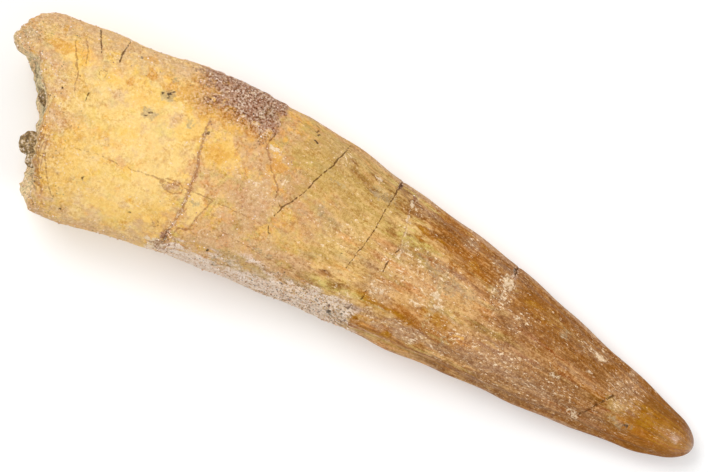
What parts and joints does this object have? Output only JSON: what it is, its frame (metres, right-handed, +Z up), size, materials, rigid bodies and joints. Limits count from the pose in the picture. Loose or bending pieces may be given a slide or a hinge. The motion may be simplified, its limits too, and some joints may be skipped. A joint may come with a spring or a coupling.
{
  "type": "spinosaurus tooth",
  "caption": "Fossil tooth of a large fish-eating dinosaur, curved and tapering to a worn tip, broken off at its hollow, sandstone-filled root, lying on its side.",
  "frame": {"origin": "centre of the tooth's footprint, on the surface that it lies on", "axes": "+X along the tooth from the broken root to the tip, +Y towards its convex cutting edge, +Z up out of the face that is on show"},
  "size_m": [0.1, 0.0266, 0.0192],
  "materials": {
    "fossil_enamel": "ochre root, amber crown, satin and worn, with cracks and stains",
    "sandstone": "grey-green, matte and gritty"
  },
  "bodies": {
    "root": {"tooth": "fossil_enamel", "cavity_fill": "sandstone"}
  },
  "joints": []
}
